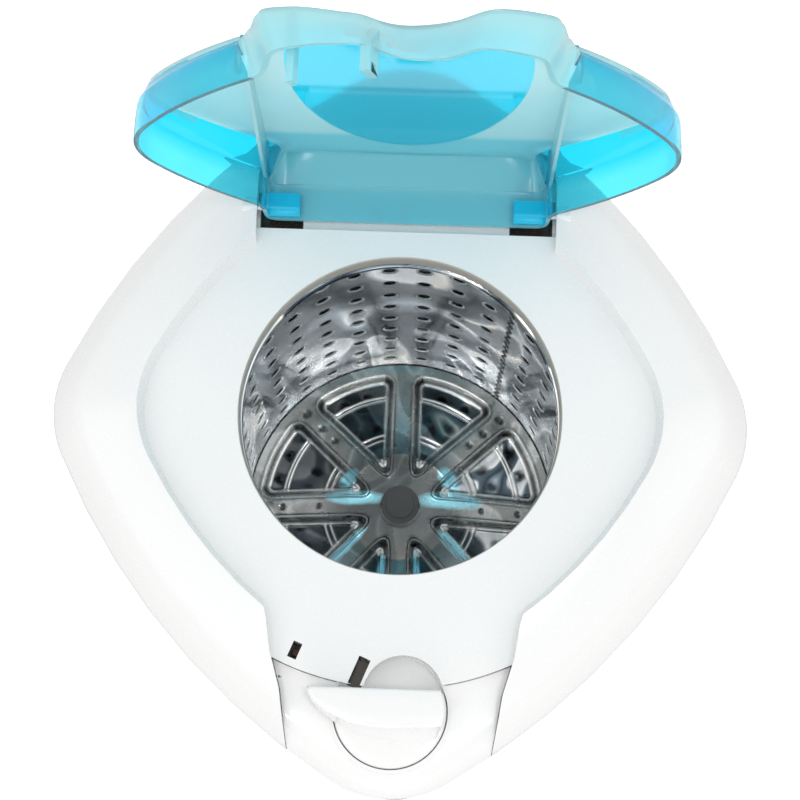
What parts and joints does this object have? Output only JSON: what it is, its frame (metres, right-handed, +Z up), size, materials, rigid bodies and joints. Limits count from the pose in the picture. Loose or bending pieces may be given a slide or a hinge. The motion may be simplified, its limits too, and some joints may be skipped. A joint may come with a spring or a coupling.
{
  "type": "laundry spin dryer",
  "caption": "Top-loading laundry spin dryer with a rounded diamond body, a round opening over a steel drum, a hinged translucent blue lid and a turn knob with a grip bar at the front.",
  "frame": {"origin": "on the floor, on the vertical axis of the drum", "axes": "+Z up, -Y to the front where the knob is, +X to the right"},
  "size_m": [0.381, 0.41, 0.882],
  "materials": {
    "casing": "satin",
    "white_plastic": "gloss",
    "grey_plastic": "satin",
    "tub_plastic": "satin",
    "lid_plastic": "gloss",
    "black_plastic": "satin",
    "red_plastic": "gloss",
    "rubber": "matte",
    "drum_steel": "polished",
    "steel": "satin",
    "plated_steel": "satin",
    "laminations": "matte",
    "cast_iron": "matte",
    "aluminium": "satin",
    "copper": "satin",
    "brake_lining": "matte"
  },
  "bodies": {
    "housing": {"base_pan": "grey_plastic", "feet": "rubber", "casing": "casing", "top_cover": "white_plastic", "control_panel": "white_plastic", "neck_seal": "rubber", "tub": "tub_plastic", "tub_seal": "rubber", "shaft_boot": "rubber", "drain_hose": "rubber", "drain_spout": "grey_plastic", "cable_gland": "black_plastic", "cover_screws": "steel", "base_screws": "steel", "hinge_pins": "steel", "motor_plate": "plated_steel", "motor_mounts": "rubber", "mount_bolts": "steel", "motor_lower_bell": "aluminium", "motor_upper_bell": "aluminium", "stator_stack": "laminations", "stator_windings": "copper", "upper_bearing": "steel", "lower_bearing": "steel", "capacitor": "aluminium", "capacitor_clamp": "plated_steel", "terminal_block": "tub_plastic", "brake_bracket": "plated_steel", "brake_pivot": "steel", "latch_guide": "white_plastic", "lid_switch": "black_plastic"},
    "button": {"switch_button": "red_plastic"},
    "knob": {"knob": "white_plastic", "knob_cam": "tub_plastic"},
    "latch": {"latch_bolt": "tub_plastic"},
    "rod": {"brake_rod": "steel"},
    "crank": {"brake_crank": "plated_steel", "brake_pad": "brake_lining"},
    "drum": {"drum_wall": "drum_steel", "drum_rim": "drum_steel", "drum_floor": "drum_steel", "weld_strip": "drum_steel", "hub_flange": "aluminium", "floor_rivets": "steel", "hub_cap": "black_plastic", "hub_nut": "steel", "drive_shaft": "steel", "motor_rotor": "laminations", "brake_drum": "cast_iron", "cooling_fan": "black_plastic"},
    "lid": {"lid": "lid_plastic", "lid_tongue": "lid_plastic", "lid_peg": "lid_plastic"}
  },
  "joints": [
    {"name": "lid_hinge", "type": "hinge", "parent": "housing", "child": "lid", "pos_m": [0, 0.112, 0.624], "axis": [1, 0, 0], "range_deg": [0, 91]},
    {"name": "drum_spin", "type": "hinge", "parent": "housing", "child": "drum", "pos_m": [0, 0, 0.3], "axis": [0, 0, 1], "continuous": true},
    {"name": "knob_turn", "type": "hinge", "parent": "housing", "child": "knob", "pos_m": [0, -0.16, 0.6], "axis": [0, 0, 1], "range_deg": [0, 60]},
    {"name": "latch_slide", "type": "slide", "parent": "housing", "child": "latch", "axis": [1, 0, 0], "range_m": [0, 0.007]},
    {"name": "rod_slide", "type": "slide", "parent": "housing", "child": "rod", "axis": [0, 0, 1], "range_m": [0, 0.006]},
    {"name": "crank_pivot", "type": "hinge", "parent": "housing", "child": "crank", "pos_m": [0, -0.075, 0.092], "axis": [-1, 0, 0], "range_deg": [0, 5.64]},
    {"name": "switch_press", "type": "slide", "parent": "housing", "child": "button", "axis": [0, 0, -1], "range_m": [0, 0.0015], "stiffness_N_per_m": 300}
  ],
  "couplings": [
    {"joint": "latch_slide", "follows": "knob_turn", "m_per_rad": 0.006684},
    {"joint": "rod_slide", "follows": "knob_turn", "m_per_rad": 0.005729},
    {"joint": "crank_pivot", "follows": "knob_turn", "ratio": 0.0939}
  ]
}
